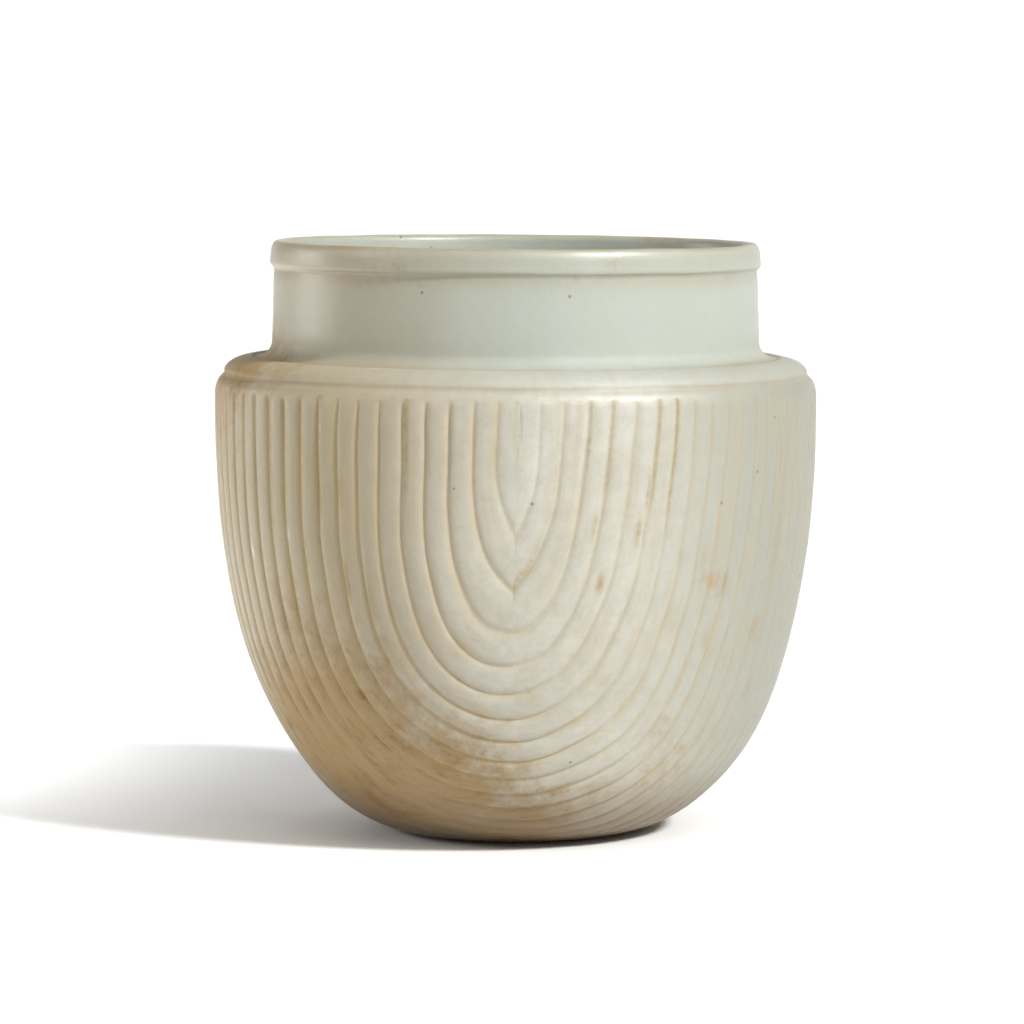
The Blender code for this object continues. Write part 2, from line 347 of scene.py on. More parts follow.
def arch_place(spread, bearing):
    """Azimuth and distance down the outline of a point on an arch.

    The arches are drawn as circles on a half ball about the front point:
    spread is a circle's angle from that point, and bearing goes round it from
    the right-hand end, by the lowest point, to the left-hand end.
    """
    side = math.cos(bearing)
    across = math.sin(spread) * side * abs(side) ** pointedness(spread)
    azimuth = math.atan2(across, math.cos(spread))
    dip = math.asin(clamp(math.sin(spread) * math.sin(bearing)))
    arc = arc_at(dip)
    shift = ARCH_SHIFT_TOP + (ARCH_SHIFT_LOW - ARCH_SHIFT_TOP) * clamp(arc / ARCH_SHIFT_REACH)
    return hand_spacing(azimuth, arc) + shift * max(math.cos(azimuth), 0.0) ** 2, arc


def on_body(azimuth, arc, depth=0.0):
    """A point of the body at a depth under its plain outline."""
    radius, height = outline_point(arc)
    out, up = outline_normal(arc)
    radius -= depth * out
    height = max(height - depth * up, 0.0)
    return Vector((radius * math.sin(azimuth), -radius * math.cos(azimuth), height))


def groove_place(spread):
    """Number of grooves passed between the middle of the front, or of the back, and a spread."""
    near = min(spread, math.pi - spread)
    return (near - FIRST_GROOVE) / groove_pitch


def from_groove(spread):
    """Distance to the nearest groove as a share of the spacing, at most one half."""
    place = groove_place(spread)
    if place < 0:
        return min(-place, 0.5)
    part = place - math.floor(place)
    return min(part, 1 - part)


def flute_section(spread):
    """How deep the carving is across the flutes: 1 in a groove, 0 on the crown between two."""
    near = from_groove(spread)
    crown = CROWN_SHARE * (1 - near / 0.5) ** 2
    cut = (1 - CROWN_SHARE) * clamp(1 - near / CUT_HALF_WIDTH) ** CUT_POWER
    return crown + cut


def groove_strength(azimuth, arc, place):
    """How much of the grooves is left: none at their ends, less where the stone is worn."""
    start = GROOVE_START + START_CHANGE * noise.noise(place / START_REACH)
    strength = math.sin(math.pi / 2 * clamp((arc - start) / GROOVE_RUN_IN))
    strength *= clamp((base_edge - arc) / GROOVE_RUN_OUT)
    for patch_azimuth, patch_arc, reach_azimuth, reach_arc, worn in WORN_PATCHES:
        away = ((azimuth - patch_azimuth) / reach_azimuth) ** 2 + ((arc - patch_arc) / reach_arc) ** 2
        strength *= 1 - worn * math.exp(-away)
    return strength * (1 + DEPTH_CHANGE * noise.noise(place / DEPTH_REACH))


def arch_rows():
    """Spread of every row of the body's mesh: a section of each flute."""
    front = [0.0] + [FIRST_GROOVE - groove_pitch * part for part in FIRST_FLUTE_PARTS]
    for groove in range(GROOVE_COUNT // 2):
        front += [FIRST_GROOVE + groove_pitch * (groove + part) for part in FLUTE_PARTS]
    back = [math.pi - spread for spread in reversed(front)]
    return front + [math.pi / 2] + back


def arch_columns():
    """Bearing of every column of the body's mesh, from one end of an arch to the other."""
    full = GROOVE_START + GROOVE_RUN_IN
    arcs = [GROOVE_START + GROOVE_RUN_IN * step / RUN_IN_STEPS for step in range(RUN_IN_STEPS)]
    for step in range(ARCH_STEPS + 1):
        arcs.append(full + (base_edge - full) * (step / ARCH_STEPS) ** STEP_EASE)
    arcs += [base_edge + BASE_RADIUS * share for share in (0.2, 0.4, 0.6, 0.8)]
    right = [dip_at(arc) for arc in arcs]
    left = [math.pi - bearing for bearing in reversed(right)]
    return right + [math.pi / 2] + left


def add_body(mesh, marks):
    """The fluted body and flat base: a grid whose rows run along the grooves."""
    rows = arch_rows()
    columns = arch_columns()
    made = bmesh.ops.create_grid(mesh, x_segments=len(rows) - 1, y_segments=len(columns) - 1, size=1.0)
    for vert in made["verts"]:
        spread = rows[round((vert.co.x + 1) / 2 * (len(rows) - 1))]
        bearing = columns[round((vert.co.y + 1) / 2 * (len(columns) - 1))]
        plain = on_body(*arch_place(spread, bearing))
        sway = WANDER / BODY_RADIUS * noise.noise(plain / WANDER_REACH)
        sway *= clamp(min(spread, math.pi - spread) / FIRST_GROOVE)
        azimuth, arc = arch_place(spread + sway, bearing)
        strength = groove_strength(azimuth, arc, plain)
        vert.co = on_body(azimuth, arc, GROOVE_DEPTH * flute_section(spread) * strength)
        side = 1 if bearing < math.pi / 2 else -1
        vert[marks["flute"]] = side * (spread - FIRST_GROOVE) / groove_pitch
        vert[marks["bearing"]] = math.degrees(min(bearing, math.pi - bearing))
        vert[marks["spread"]] = spread
        width, earth = (EARTH_WIDTH_LEFT, EARTH_LEFT) if side < 0 else (EARTH_WIDTH_RIGHT, EARTH_RIGHT)
        vert[marks["groove"]] = earth * clamp(strength) * math.exp(-(from_groove(spread) / width) ** 2)
    bmesh.ops.remove_doubles(mesh, verts=mesh.verts, dist=MERGE_REACH)


def elliptic_arc(centre, reach, start, end, steps):
    """Points on an ellipse about a centre, at angles in degrees from the outward radius."""
    points = []
    for step in range(steps + 1):
        angle = math.radians(start + (end - start) * step / steps)
        points.append((centre[0] + reach[0] * math.cos(angle), centre[1] + reach[1] * math.sin(angle)))
    return points


def edge_profile():
    """The rest of the body's rounded top edge, above the ends of the flutes."""
    centre = (BODY_RADIUS - EDGE_WIDTH, body_top - EDGE_DROP)
    flute_end = math.degrees(math.asin(clamp(1 - GROOVE_START / EDGE_DROP)))
    start = flute_end + (90 - flute_end) / 10
    return elliptic_arc(centre, (EDGE_WIDTH, EDGE_DROP), start, EDGE_END, 7)


def shoulder_profile():
    """Fine groove, rolled shoulder, small step and cove."""
    edge_radius = BODY_RADIUS - EDGE_WIDTH
    roll_base = body_top + NOTCH_HEIGHT
    step_radius = neck_radius + COVE_WIDTH
    points = [(edge_radius - NOTCH_DEPTH, roll_base)]
    roll_reach = (edge_radius - step_radius, shoulder_top - roll_base)
    points += elliptic_arc((step_radius, roll_base), roll_reach, 8, 90, 14)
    cove_centre = (step_radius - STEP_SIZE, shoulder_top - STEP_SIZE + COVE_HEIGHT)
    cove_reach = (COVE_WIDTH - STEP_SIZE, COVE_HEIGHT)
    return points + elliptic_arc(cove_centre, cove_reach, 270, 180, 10)


def neck_profile():
    """Nearly straight neck, which rounds inwards a little under the lip."""
    foot = shoulder_top - STEP_SIZE + COVE_HEIGHT
    round_height = NECK_ROUND_HEIGHT * math.sin(math.radians(NECK_ROUND_END))
    centre = (neck_radius - NECK_TAPER - NECK_ROUND_WIDTH, HEIGHT - LIP_HEIGHT - LIP_SLANT - round_height)
    points = []
    for step in range(1, NECK_STEPS):
        share = step / NECK_STEPS
        points.append((neck_radius - NECK_TAPER * share, foot + (centre[1] - foot) * share))
    return points + elliptic_arc(centre, (NECK_ROUND_WIDTH, NECK_ROUND_HEIGHT), 0, NECK_ROUND_END, 9)


def lip_profile():
    """Projecting lip with a slanted underside, a rounded lower edge and a rounded crest."""
    crest = (lip_radius - LIP_LEAN - LIP_ROUND_WIDTH, HEIGHT - LIP_ROUND_HEIGHT)
    inner_crest = (crest[0], HEIGHT - INNER_ROUND_HEIGHT)
    under = (lip_radius - LIP_EDGE_WIDTH, HEIGHT - LIP_HEIGHT + LIP_EDGE_RISE)
    points = elliptic_arc(under, (LIP_EDGE_WIDTH, LIP_EDGE_HEIGHT), 285, 360, 6)
    points += elliptic_arc(crest, (LIP_ROUND_WIDTH, LIP_ROUND_HEIGHT), 0, 90, 9)
    inner_reach = LIP_WALL - LIP_ROUND_WIDTH
    return points + elliptic_arc(inner_crest, (inner_reach, INNER_ROUND_HEIGHT), 102, 180, 6)


def inner_profile():
    """The hollow: straight neck, wide shoulder, rounded body and flat floor."""
    bore_radius = neck_radius - NECK_WALL
    room_radius = BODY_RADIUS - BODY_WALL
    room_top = body_top + INNER_SHOULDER_TOP - INNER_SHOULDER_DROP
    shoulder_reach = (room_radius - bore_radius, INNER_SHOULDER_DROP)
    points = [(bore_radius, HEIGHT - LIP_HEIGHT), (bore_radius, HEIGHT - LIP_HEIGHT - BORE_DEPTH)]
    points += elliptic_arc((bore_radius, room_top), shoulder_reach, 90, 0, 8)
    for step in range(1, BOWL_STEPS + 1):
        turn = step / BOWL_STEPS * math.pi / 2
        width = math.cos(turn) ** (2 / WIDTH_POWER)
        fall = math.sin(turn) ** (2 / DEPTH_POWER)
        radius = INNER_FLOOR_RADIUS + (room_radius - INNER_FLOOR_RADIUS) * width
        points.append((radius, room_top - (room_top - FLOOR_THICKNESS) * fall))
    return points + [(INNER_FLOOR_RADIUS / 2, FLOOR_THICKNESS), (0.0, FLOOR_THICKNESS)]


def add_turned_top(mesh, marks):
    """Everything above the flutes, and the hollow: one outline turned about the axis."""
    points = edge_profile() + shoulder_profile() + neck_profile() + lip_profile() + inner_profile()
    verts = [mesh.verts.new((0.0, -radius, height)) for radius, height in points]
    for vert in verts:
        vert[marks["bearing"]] = -1.0
    edges = [mesh.edges.new(pair) for pair in zip(verts, verts[1:])]
    bmesh.ops.spin(
        mesh,
        geom=verts + edges,
        cent=(0.0, 0.0, 0.0),
        axis=(0.0, 0.0, 1.0),
        angle=2 * math.pi,
        steps=TURN_STEPS,
        use_merge=True,
    )
    bmesh.ops.remove_doubles(mesh, verts=mesh.verts, dist=MERGE_REACH)


def make_irregular(mesh):
    """Slopes the rim, swells the low belly to the right and dents the surface a little."""
    noise.seed_set(DENT_SEED)
    for vert in mesh.verts:
        swell = math.exp(-((vert.co.z - BELLY_DRIFT_HEIGHT) / BELLY_DRIFT_REACH) ** 2)
        dent = DENT * noise.noise_vector(vert.co / DENT_REACH)
        standing = clamp(vert.co.z / STANDING_HEIGHT)
        vert.co.z -= vert.co.x * math.tan(RIM_SLOPE) * (vert.co.z / HEIGHT) ** 2
        vert.co.x += BELLY_DRIFT * swell
        vert.co += dent * standing


def keep_within(mesh, low, high):
    """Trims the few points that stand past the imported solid's box."""
    for vert in mesh.verts:
        for axis in range(3):
            vert.co[axis] = min(max(vert.co[axis], low[axis]), high[axis])


def read_marks(data, name):
    """The values of one of the mesh's attributes."""
    values = np.zeros(len(data.vertices), np.float32)
    data.attributes[name].data.foreach_get("value", values)
    return values.astype(float)


def write_marks(data, name, values):
    """Adds an attribute that the marble's colours follow."""
    attribute = data.attributes.new(name, "FLOAT", "POINT")
    attribute.data.foreach_set("value", np.asarray(values, np.float32))


def mark_surface(data):
    """Marks where the surface is stained or painted with shade, where dirt and painted shade lie in
    corners, and how the flutes run.
    """
    points = np.zeros(len(data.vertices) * 3)
    data.vertices.foreach_get("co", points)
    points = points.reshape(-1, 3)
    flute = read_marks(data, "flute")
    bearing = read_marks(data, "bearing")
    spread = read_marks(data, "spread")
    body = bearing >= 0
    pitch = groove_pitch * BODY_RADIUS
    azimuth = np.arctan2(points[:, 0], -points[:, 1])
    radius = np.hypot(points[:, 0], points[:, 1])
    across = np.where(body, flute * pitch, azimuth * BODY_RADIUS)
    along = np.where(body, np.radians(bearing) * np.sin(spread) * BODY_RADIUS, body_top - points[:, 2])
    write_marks(data, "across", across)
    write_marks(data, "along", along)

    stain = np.zeros(len(points))
    for number, angle, half_width, half_length, strength in STAINS:
        sideways = (flute - number) * pitch / (half_width * MM)
        lengthways = np.radians(bearing - angle) * np.sin(spread) * BODY_RADIUS / (half_length * MM)
        stain = np.maximum(stain, strength * np.exp(-sideways ** 2 - np.abs(lengthways) ** 3) * body)
    write_marks(data, "stain", stain)

    patch = np.zeros(len(points))
    for x, y, z, reach, strength in TAN_PATCHES_AND_SHADE:
        away = ((points - np.array((x, y, z)) * MM) ** 2).sum(1) / (reach * MM) ** 2
        patch = np.maximum(patch, strength * np.exp(-away))
    write_marks(data, "patch", patch)

    nick = np.zeros(len(points))
    for x, y, z, size in NICKS:
        away = ((points - np.array((x, y, z)) * MM) ** 2).sum(1) / (size * MM) ** 2
        nick = np.maximum(nick, NICK_STRENGTH * np.exp(-away))
    write_marks(data, "nick", nick)

    # Earth in the corners of the mouldings; in the cove and under the lip it is partly painted shade
    corner = np.zeros(len(points))
    step_radius = neck_radius + COVE_WIDTH
    neck_top = HEIGHT - LIP_HEIGHT - LIP_SLANT
    for ring_radius, ring_height, reach_out, reach_up, strength in (
        (BODY_RADIUS - EDGE_WIDTH - NOTCH_DEPTH, body_top + NOTCH_HEIGHT / 2, 0.5 * MM, 0.35 * MM, 0.75),
        (step_radius - 0.1 * MM, shoulder_top - STEP_SIZE / 2, 0.45 * MM, 0.4 * MM, 0.8),
        (step_radius - 1.2 * MM, shoulder_top, 1.0 * MM, 0.8 * MM, 0.5),
        (neck_top_radius, neck_top - 0.4 * MM, 1.2 * MM, 1.5 * MM, 0.5),
        (lip_radius, HEIGHT - LIP_HEIGHT / 2, 1.5 * MM, 2.2 * MM, 0.3),
        (lip_radius - LIP_LEAN - LIP_ROUND_WIDTH, HEIGHT, 1.1 * MM, 0.9 * MM, 0.8),
    ):
        slope = points[:, 0] * math.tan(RIM_SLOPE) * (points[:, 2] / HEIGHT) ** 2
        out = (radius - ring_radius) / reach_out
        up = (points[:, 2] + slope - ring_height) / reach_up
        corner = np.maximum(corner, strength * np.exp(-out ** 2 - up ** 2))
    write_marks(data, "corner", corner)


def linear(code):
    """An sRGB hex colour as the linear colour that a shader takes."""
    parts = [int(code[place:place + 2], 16) / 255 for place in (0, 2, 4)]
    return [part / 12.92 if part <= 0.04045 else ((part + 0.055) / 1.055) ** 2.4 for part in parts] + [1.0]


def add_node(tree, kind, settings=None, inputs=None):
    """Adds a node, sets its properties, and gives each named input a value or a link."""
    node = tree.nodes.new(kind)
    for name, value in (settings or {}).items():
        setattr(node, name, value)
    for name, value in (inputs or {}).items():
        if isinstance(value, bpy.types.NodeSocket):
            tree.links.new(value, node.inputs[name])
        else:
            node.inputs[name].default_value = value
    return node


def carved_marble():
    """Fine-grained white marble, cut with a chisel, rubbed smooth and long buried.

    Light goes a few millimetres into it, so edges and thin walls glow a little.
    The rubbed crowns keep a dull polish, and iron-brown earth is left in the cuts.
    """
    material = bpy.data.materials.new("carved_marble")
    material.use_nodes = True
    tree = material.node_tree
    shader = tree.nodes["Principled BSDF"]

    place = add_node(tree, "ShaderNodeTexCoord").outputs["Object"]
    parts = add_node(tree, "ShaderNodeSeparateXYZ", inputs={0: place})
    across = add_node(tree, "ShaderNodeAttribute", {"attribute_name": "across"}).outputs["Fac"]
    along = add_node(tree, "ShaderNodeAttribute", {"attribute_name": "along"}).outputs["Fac"]
    groove = add_node(tree, "ShaderNodeAttribute", {"attribute_name": "groove"}).outputs["Fac"]
    stain = add_node(tree, "ShaderNodeAttribute", {"attribute_name": "stain"}).outputs["Fac"]
    patch = add_node(tree, "ShaderNodeAttribute", {"attribute_name": "patch"}).outputs["Fac"]
    corner = add_node(tree, "ShaderNodeAttribute", {"attribute_name": "corner"}).outputs["Fac"]
    nick = add_node(tree, "ShaderNodeAttribute", {"attribute_name": "nick"}).outputs["Fac"]

    # Clouds in the stone, 16 mm across
    clouds = add_node(
        tree,
        "ShaderNodeTexNoise",
        inputs={"Vector": place, "Scale": 60.0, "Detail": 4.0, "Roughness": 0.55},
    ).outputs["Fac"]
    cloud_share = add_node(
        tree, "ShaderNodeMapRange", inputs={"Value": clouds, "From Min": 0.35, "From Max": 0.68}
    ).outputs[0]
    colour = add_node(
        tree,
        "ShaderNodeMix",
        {"data_type": "RGBA"},
        {0: cloud_share, 6: linear("BAB8AE"), 7: linear("B0AEA1")},
    ).outputs[2]

    # Milky and darker crystals, 1 to 3 mm across
    crystals = add_node(
        tree,
        "ShaderNodeTexNoise",
        inputs={"Vector": place, "Scale": 420.0, "Detail": 5.0, "Roughness": 0.65},
    ).outputs["Fac"]
    crystal_share = add_node(
        tree,
        "ShaderNodeMapRange",
        inputs={"Value": crystals, "From Min": 0.4, "From Max": 0.75, "To Max": 0.4},
    ).outputs[0]
    colour = add_node(
        tree, "ShaderNodeMix", {"data_type": "RGBA"}, {0: crystal_share, 6: colour, 7: linear("95917E")}
    ).outputs[2]

    # The neck and the inside are greener and darker: painted shade for the thin wall, which lets light
    # through into the dark hollow
    neck_share = add_node(
        tree,
        "ShaderNodeMapRange",
        {"interpolation_type": "SMOOTHSTEP"},
        {"Value": parts.outputs["Z"], "From Min": 76 * MM, "From Max": 83 * MM, "To Max": 0.85},
    ).outputs[0]
    colour = add_node(
        tree, "ShaderNodeMix", {"data_type": "RGBA"}, {0: neck_share, 6: colour, 7: linear("A3A99F")}
    ).outputs[2]

    # Painted shade: the left of the front half, turned away from the main lamp, is darker and warmer, less
    # so on the neck
    warm_shade_side = add_node(
        tree,
        "ShaderNodeMapRange",
        {"interpolation_type": "SMOOTHSTEP"},
        {"Value": parts.outputs["X"], "From Min": 4 * MM, "From Max": -34 * MM, "To Max": 0.85},
    ).outputs[0]
    front_half = add_node(
        tree,
        "ShaderNodeMapRange",
        {"interpolation_type": "SMOOTHSTEP"},
        {"Value": parts.outputs["Y"], "From Min": 24 * MM, "From Max": 4 * MM},
    ).outputs[0]
    warm_shade_limit = add_node(
        tree, "ShaderNodeMath", {"operation": "MULTIPLY_ADD"}, {0: neck_share, 1: -0.35, 2: front_half}
    ).outputs[0]
    warm_shade_share = add_node(
        tree,
        "ShaderNodeMath",
        {"operation": "MULTIPLY", "use_clamp": True},
        {0: warm_shade_side, 1: warm_shade_limit},
    ).outputs[0]
    below_neck = add_node(
        tree, "ShaderNodeMath", {"operation": "SUBTRACT"}, {0: 1.0, 1: neck_share}
    ).outputs[0]
    colour = add_node(
        tree, "ShaderNodeMix", {"data_type": "RGBA"}, {0: warm_shade_share, 6: colour, 7: linear("9E8F70")}
    ).outputs[2]

    # The right of the body is greyer and darker: partly the stone's greyer tone, partly painted shade on
    # the side that faces the main lamp
    grey_shade_side = add_node(
        tree,
        "ShaderNodeMapRange",
        {"interpolation_type": "SMOOTHSTEP"},
        {"Value": parts.outputs["X"], "From Min": 10 * MM, "From Max": 46 * MM},
    ).outputs[0]
    grey_shade_share = add_node(
        tree, "ShaderNodeMath", {"operation": "MULTIPLY"}, {0: grey_shade_side, 1: below_neck}
    ).outputs[0]
    colour = add_node(
        tree, "ShaderNodeMix", {"data_type": "RGBA"}, {0: grey_shade_share, 6: colour, 7: linear("909186")}
    ).outputs[2]

    # Faint streaks along the flutes, 2 mm wide and 9 mm long
    run = add_node(
        tree, "ShaderNodeCombineXYZ", inputs={"X": across, "Y": along, "Z": parts.outputs["X"]}
    ).outputs[0]
    long_run = add_node(
        tree, "ShaderNodeMapping", inputs={"Vector": run, "Scale": (500.0, 110.0, 60.0)}
    ).outputs[0]
    streaks = add_node(
        tree,
        "ShaderNodeTexNoise",
        inputs={"Vector": long_run, "Scale": 1.0, "Detail": 3.0, "Roughness": 0.6},
    ).outputs["Fac"]
    streak_share = add_node(
        tree,
        "ShaderNodeMapRange",
        inputs={"Value": streaks, "From Min": 0.48, "From Max": 0.75, "To Max": 0.4},
    ).outputs[0]
    streak_share = add_node(
        tree, "ShaderNodeMath", {"operation": "MULTIPLY"}, {0: streak_share, 1: below_neck}
    ).outputs[0]
    colour = add_node(
        tree, "ShaderNodeMix", {"data_type": "RGBA"}, {0: streak_share, 6: colour, 7: linear("A49472")}
    ).outputs[2]

    # Tan patches, partly painted shade on the left of the shoulder, with edges broken by 3 mm clouds and
    # brown streaks of 2 mm by 5 mm in them
    edges = add_node(
        tree,
        "ShaderNodeTexNoise",
        inputs={"Vector": place, "Scale": 300.0, "Detail": 5.0, "Roughness": 0.7},
    ).outputs["Fac"]
    patch_edge = add_node(tree, "ShaderNodeMath", {"operation": "ADD"}, {0: patch, 1: edges}).outputs[0]
    brown_run = add_node(
        tree, "ShaderNodeMapping", inputs={"Vector": run, "Scale": (420.0, 190.0, 110.0)}
    ).outputs[0]
    brown = add_node(
        tree,
        "ShaderNodeTexNoise",
        inputs={"Vector": brown_run, "Scale": 1.0, "Detail": 5.0, "Roughness": 0.65},
    ).outputs["Fac"]
    patch_share = add_node(
        tree,
        "ShaderNodeMapRange",
        {"interpolation_type": "SMOOTHSTEP"},
        {"Value": patch_edge, "From Min": 0.74, "From Max": 1.32, "To Max": 1.0},
    ).outputs[0]
    brown_share = add_node(
        tree, "ShaderNodeMapRange", inputs={"Value": brown, "From Min": 0.5, "From Max": 0.7}
    ).outputs[0]
    tan = add_node(
        tree,
        "ShaderNodeMix",
        {"data_type": "RGBA"},
        {0: brown_share, 6: linear("967C51"), 7: linear("80602C")},
    ).outputs[2]
    colour = add_node(
        tree, "ShaderNodeMix", {"data_type": "RGBA"}, {0: patch_share, 6: colour, 7: tan}
    ).outputs[2]

    # Ochre earth all along the cuts, thicker and thinner every 6 mm or so
    earth_run = add_node(
        tree, "ShaderNodeMapping", inputs={"Vector": run, "Scale": (250.0, 170.0, 80.0)}
    ).outputs[0]
    earth = add_node(
        tree,
        "ShaderNodeTexNoise",
        inputs={"Vector": earth_run, "Scale": 1.0, "Detail": 4.0, "Roughness": 0.6},
    ).outputs["Fac"]
    earth_amount = add_node(
        tree,
        "ShaderNodeMapRange",
        inputs={"Value": earth, "From Min": 0.3, "From Max": 0.7, "To Min": 0.08, "To Max": 0.7},
    ).outputs[0]
    earth_share = add_node(
        tree, "ShaderNodeMath", {"operation": "MULTIPLY"}, {0: groove, 1: earth_amount}
    ).outputs[0]
    colour = add_node(
        tree, "ShaderNodeMix", {"data_type": "RGBA"}, {0: earth_share, 6: colour, 7: linear("B09868")}
    ).outputs[2]

    # Darker and browner on the lowest part: soil from standing in the ground, and painted shade of the
    # underside
    soil_and_shade_share = add_node(
        tree,
        "ShaderNodeMapRange",
        {"interpolation_type": "SMOOTHSTEP"},
        {"Value": parts.outputs["Z"], "From Min": 16 * MM, "From Max": 0.0, "To Max": 0.9},
    ).outputs[0]
    colour = add_node(
        tree, "ShaderNodeMix", {"data_type": "RGBA"}, {0: soil_and_shade_share, 6: colour, 7: linear("705C42")}
    ).outputs[2]

    # Rust stains: the marked ones, mottled every millimetre, and small dashes elsewhere in the cuts
    dash_run = add_node(
        tree, "ShaderNodeMapping", inputs={"Vector": run, "Scale": (320.0, 210.0, 120.0)}
    ).outputs[0]
    dashes = add_node(
        tree,
        "ShaderNodeTexNoise",
        inputs={"Vector": dash_run, "Scale": 1.0, "Detail": 2.0, "Roughness": 0.5},
    ).outputs["Fac"]
    dash_amount = add_node(
        tree,
        "ShaderNodeMapRange",
        inputs={"Value": dashes, "From Min": 0.63, "From Max": 0.76, "To Max": 0.5},
    ).outputs[0]
    dash_share = add_node(
        tree, "ShaderNodeMath", {"operation": "MULTIPLY"}, {0: groove, 1: dash_amount}
    ).outputs[0]
    mottle = add_node(
        tree,
        "ShaderNodeTexNoise",
        inputs={"Vector": place, "Scale": 1100.0, "Detail": 3.0, "Roughness": 0.7},
    ).outputs["Fac"]
    mottle_share = add_node(
        tree,
        "ShaderNodeMapRange",
        inputs={"Value": mottle, "From Min": 0.3, "From Max": 0.62, "To Min": 0.25},
    ).outputs[0]
    stain_share = add_node(
        tree, "ShaderNodeMath", {"operation": "MULTIPLY"}, {0: stain, 1: mottle_share}
    ).outputs[0]
    rust_share = add_node(
        tree, "ShaderNodeMath", {"operation": "MAXIMUM"}, {0: dash_share, 1: stain_share}
    ).outputs[0]
    rust = add_node(
        tree,
        "ShaderNodeMix",
        {"data_type": "RGBA"},
        {0: patch_share, 6: linear("8F742F"), 7: linear("6E4E20")},
    ).outputs[2]
    colour = add_node(
        tree, "ShaderNodeMix", {"data_type": "RGBA"}, {0: rust_share, 6: colour, 7: rust}
    ).outputs[2]

    # Earth in the corners of the turned mouldings, and painted shade in the cove and under the lip
    corner_amount = add_node(
        tree,
        "ShaderNodeMapRange",
        inputs={"Value": clouds, "From Min": 0.35, "From Max": 0.65, "To Min": 0.3, "To Max": 0.9},
    ).outputs[0]
    corner_share = add_node(
        tree, "ShaderNodeMath", {"operation": "MULTIPLY"}, {0: corner, 1: corner_amount}
    ).outputs[0]
    colour = add_node(
        tree, "ShaderNodeMix", {"data_type": "RGBA"}, {0: corner_share, 6: colour, 7: linear("8E7A50")}
    ).outputs[2]

    # Dark specks of about half a millimetre, 7 mm or so apart
    cells = add_node(
        tree, "ShaderNodeTexVoronoi", inputs={"Vector": place, "Scale": 150.0, "Randomness": 1.0}
    )
    speck = add_node(
        tree,
        "ShaderNodeMapRange",
        inputs={"Value": cells.outputs["Distance"], "From Min": 0.055, "From Max": 0.02},
    ).outputs[0]
    speck_share = add_node(
        tree, "ShaderNodeMath", {"operation": "MULTIPLY"}, {0: speck, 1: 0.7}
    ).outputs[0]
    colour = add_node(
        tree, "ShaderNodeMix", {"data_type": "RGBA"}, {0: speck_share, 6: colour, 7: linear("6E543A")}
    ).outputs[2]

    # Fresh white stone in the nicks
    colour = add_node(
        tree, "ShaderNodeMix", {"data_type": "RGBA"}, {0: nick, 6: colour, 7: linear("E9E2D2")}
    ).outputs[2]
    tree.links.new(colour, shader.inputs["Base Color"])

    # Sugary grain of 0.35 mm, and dents of 3 mm left by rubbing down. The shoulder is matt, above
    # 77 mm, and the neck keeps a dull polish, above 86 mm
    grain = add_node(
        tree,
        "ShaderNodeTexNoise",
        inputs={"Vector": place, "Scale": 2800.0, "Detail": 2.0, "Roughness": 0.6},
    ).outputs["Fac"]
    rubbing = add_node(
        tree,
        "ShaderNodeTexNoise",
        inputs={"Vector": place, "Scale": 330.0, "Detail": 3.0, "Roughness": 0.5},
    ).outputs["Fac"]
    rough_change = add_node(
        tree,
        "ShaderNodeMapRange",
        inputs={"Value": mottle, "From Min": 0.3, "From Max": 0.7, "To Min": 0.4, "To Max": 0.5},
    ).outputs[0]
    polish_share = add_node(
        tree,
        "ShaderNodeMapRange",
        {"interpolation_type": "SMOOTHSTEP"},
        {"Value": parts.outputs["Z"], "From Min": 83 * MM, "From Max": 86 * MM},
    ).outputs[0]
    shoulder_share = add_node(
        tree,
        "ShaderNodeMapRange",
        {"interpolation_type": "SMOOTHSTEP"},
        {"Value": parts.outputs["Z"], "From Min": 76.5 * MM, "From Max": 77.2 * MM},
    ).outputs[0]
    matt = add_node(
        tree,
        "ShaderNodeMath",
        {"operation": "MULTIPLY_ADD"},
        {0: shoulder_share, 1: 0.15, 2: rough_change},
    )
    polish = add_node(
        tree, "ShaderNodeMix", {"data_type": "FLOAT"}, {0: polish_share, 2: matt.outputs[0], 3: 0.36}
    )
    rough = add_node(
        tree,
        "ShaderNodeMath",
        {"operation": "MULTIPLY_ADD"},
        {0: earth_share, 1: 0.2, 2: polish.outputs[0]},
    )
    tree.links.new(rough.outputs[0], shader.inputs["Roughness"])
    dents = add_node(
        tree, "ShaderNodeBump", inputs={"Height": rubbing, "Distance": 0.16 * MM, "Strength": 0.5}
    )
    pits = add_node(
        tree,
        "ShaderNodeBump",
        {"invert": True},
        {"Height": speck, "Distance": 0.08 * MM, "Strength": 0.6, "Normal": dents.outputs["Normal"]},
    )
    fine = add_node(
        tree,
        "ShaderNodeBump",
        inputs={"Height": grain, "Distance": 0.06 * MM, "Strength": 0.7, "Normal": pits.outputs["Normal"]},
    )
    tree.links.new(fine.outputs["Normal"], shader.inputs["Normal"])

    shader.inputs["Metallic"].default_value = 0.0
    shader.inputs["IOR"].default_value = 1.5
    shader.inputs["Subsurface Weight"].default_value = 0.35
    shader.inputs["Subsurface Radius"].default_value = (1.0, 0.78, 0.5)
    shader.inputs["Subsurface Scale"].default_value = 3.0 * MM
    return material


